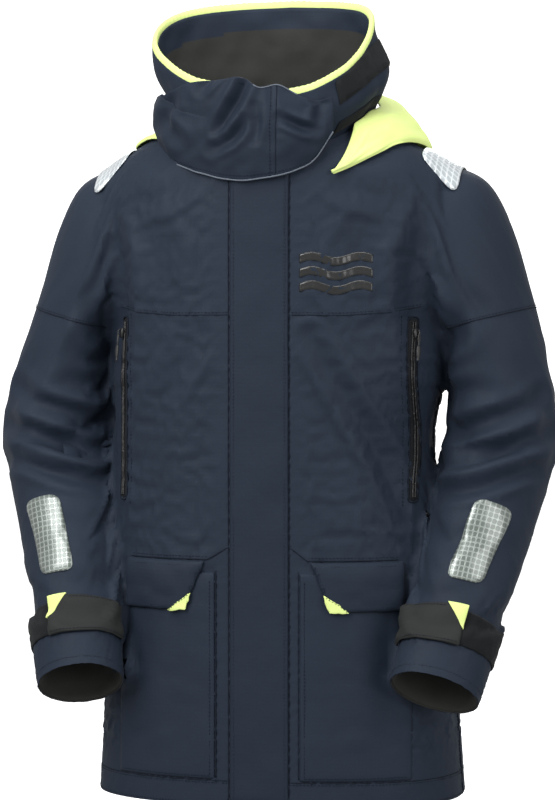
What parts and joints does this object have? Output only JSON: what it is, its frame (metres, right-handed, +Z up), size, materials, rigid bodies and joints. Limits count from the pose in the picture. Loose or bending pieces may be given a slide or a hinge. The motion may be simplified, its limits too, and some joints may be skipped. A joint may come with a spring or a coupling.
{
  "type": "foul weather jacket",
  "caption": "Hip-length waterproof sailing jacket with a high collar, face guard, hood folded down, storm flap, cargo pockets, reflective patches and adjustable cuffs.",
  "frame": {"origin": "the hanger loop inside the back of the neck, where a peg holds the jacket", "axes": "+X to the wearer's left, +Y towards the wearer's back, +Z up; the front faces -Y"},
  "size_m": [0.678, 0.367, 0.9506],
  "materials": {
    "shell_navy": "matt coated weave",
    "cuff_navy": "matt coated weave",
    "lime_fabric": "matt fluorescent weave",
    "charcoal_fabric": "brushed",
    "black_coil": "satin",
    "hook_loop": "fuzzy hook and loop",
    "reflective_film": "prismatic film",
    "emblem_film": "gloss transfer film",
    "loop_tape": "woven tape"
  },
  "bodies": {
    "jacket_body": {"back_panel": "shell_navy", "back_yoke": "shell_navy", "front_panel_right": "shell_navy", "front_panel_left": "shell_navy", "front_yoke_right": "shell_navy", "front_yoke_left": "shell_navy", "hem_band_back": "shell_navy", "hem_band_right": "shell_navy", "hem_band_left": "shell_navy", "collar_shell": "shell_navy", "collar_lining": "charcoal_fabric", "collar_binding": "lime_fabric", "collar_loop_patch": "hook_loop", "hanger_loop": "loop_tape", "main_zip_tape_right": "black_coil", "main_zip_tape_left": "black_coil", "main_zip_chain": "black_coil", "storm_flap_seam": "shell_navy", "cargo_pocket_right": "shell_navy", "cargo_pocket_left": "shell_navy", "chest_zip_right": "black_coil", "chest_zip_left": "black_coil", "chest_pocket_bag_right": "charcoal_fabric", "chest_pocket_bag_left": "charcoal_fabric", "shoulder_reflector_right": "reflective_film", "shoulder_reflector_left": "reflective_film", "chest_emblem": "emblem_film", "hood_wing_right": "lime_fabric", "hood_wing_left": "lime_fabric"},
    "main_slider": {"main_slider": "black_coil", "main_pull": "black_coil"},
    "storm_flap": {"storm_flap": "shell_navy"},
    "face_guard": {"face_guard": "shell_navy", "face_guard_patch": "hook_loop"},
    "hood": {"hood_body": "lime_fabric"},
    "sleeve_right": {"sleeve_right": "shell_navy"},
    "forearm_right": {"forearm_right": "shell_navy", "forearm_reflector_right": "reflective_film", "cuff_band_right": "cuff_navy", "inner_cuff_right": "charcoal_fabric", "cuff_loop_strap_right": "hook_loop"},
    "cuff_tab_right": {"cuff_tab_right": "charcoal_fabric", "cuff_tab_corner_right": "lime_fabric"},
    "cargo_flap_right": {"cargo_flap_right": "shell_navy", "cargo_flap_corner_right": "lime_fabric"},
    "chest_slider_right": {"chest_slider_right": "black_coil"},
    "chest_pull_right": {"chest_pull_right": "black_coil"},
    "sleeve_left": {"sleeve_left": "shell_navy"},
    "forearm_left": {"forearm_left": "shell_navy", "forearm_reflector_left": "reflective_film", "cuff_band_left": "cuff_navy", "inner_cuff_left": "charcoal_fabric", "cuff_loop_strap_left": "hook_loop"},
    "cuff_tab_left": {"cuff_tab_left": "charcoal_fabric", "cuff_tab_corner_left": "lime_fabric"},
    "cargo_flap_left": {"cargo_flap_left": "shell_navy", "cargo_flap_corner_left": "lime_fabric"},
    "chest_slider_left": {"chest_slider_left": "black_coil"},
    "chest_pull_left": {"chest_pull_left": "black_coil"}
  },
  "joints": [
    {"name": "main_zip_slide", "type": "slide", "parent": "jacket_body", "child": "main_slider", "axis": [0, 0, -1], "range_m": [0, 0.74]},
    {"name": "storm_flap_hinge", "type": "hinge", "parent": "jacket_body", "child": "storm_flap", "pos_m": [0.0384, -0.189, -0.4295], "axis": [0, 0, 1], "range_deg": [0, 120]},
    {"name": "face_guard_hinge", "type": "hinge", "parent": "jacket_body", "child": "face_guard", "pos_m": [0.047, -0.189, -0.005], "axis": [0, 0, 1], "range_deg": [0, 100]},
    {"name": "hood_hinge", "type": "hinge", "parent": "jacket_body", "child": "hood", "pos_m": [0, 0.01, 0.042], "axis": [1, 0, 0], "range_deg": [0, 55]},
    {"name": "shoulder_right", "type": "hinge", "parent": "jacket_body", "child": "sleeve_right", "pos_m": [-0.186, -0.036, -0.026], "axis": [0, 1, 0], "range_deg": [0, 40]},
    {"name": "elbow_right", "type": "hinge", "parent": "sleeve_right", "child": "forearm_right", "pos_m": [-0.2708, -0.1095, -0.3768], "axis": [-1, 0, 0], "range_deg": [0, 50]},
    {"name": "cuff_tab_hinge_right", "type": "hinge", "parent": "forearm_right", "child": "cuff_tab_right", "pos_m": [-0.18078, -0.16173, -0.59084], "axis": [-0.1484, 0.46, 0.8754], "range_deg": [0, 60]},
    {"name": "cargo_flap_hinge_right", "type": "hinge", "parent": "jacket_body", "child": "cargo_flap_right", "pos_m": [-0.12736, -0.18155, -0.5174], "axis": [-0.916, 0.401, 0.0088], "range_deg": [0, 75]},
    {"name": "chest_zip_slide_right", "type": "slide", "parent": "jacket_body", "child": "chest_slider_right", "axis": [0.0019, 0.0341, -0.9994], "range_m": [0, 0.17]},
    {"name": "chest_pull_hinge_right", "type": "hinge", "parent": "chest_slider_right", "child": "chest_pull_right", "pos_m": [-0.17963, -0.12386, -0.25843], "axis": [-0.5178, 0.855, 0.0282], "range_deg": [0, 120]},
    {"name": "shoulder_left", "type": "hinge", "parent": "jacket_body", "child": "sleeve_left", "pos_m": [0.186, -0.036, -0.026], "axis": [0, -1, 0], "range_deg": [0, 40]},
    {"name": "elbow_left", "type": "hinge", "parent": "sleeve_left", "child": "forearm_left", "pos_m": [0.2708, -0.1095, -0.3768], "axis": [-1, 0, 0], "range_deg": [0, 50]},
    {"name": "cuff_tab_hinge_left", "type": "hinge", "parent": "forearm_left", "child": "cuff_tab_left", "pos_m": [0.18078, -0.16173, -0.59084], "axis": [-0.1484, -0.46, -0.8754], "range_deg": [0, 60]},
    {"name": "cargo_flap_hinge_left", "type": "hinge", "parent": "jacket_body", "child": "cargo_flap_left", "pos_m": [0.12736, -0.18155, -0.5174], "axis": [-0.916, -0.401, -0.0088], "range_deg": [0, 75]},
    {"name": "chest_zip_slide_left", "type": "slide", "parent": "jacket_body", "child": "chest_slider_left", "axis": [-0.0019, 0.0341, -0.9994], "range_m": [0, 0.17]},
    {"name": "chest_pull_hinge_left", "type": "hinge", "parent": "chest_slider_left", "child": "chest_pull_left", "pos_m": [0.17963, -0.12386, -0.25843], "axis": [-0.5178, -0.855, -0.0282], "range_deg": [0, 120]}
  ]
}
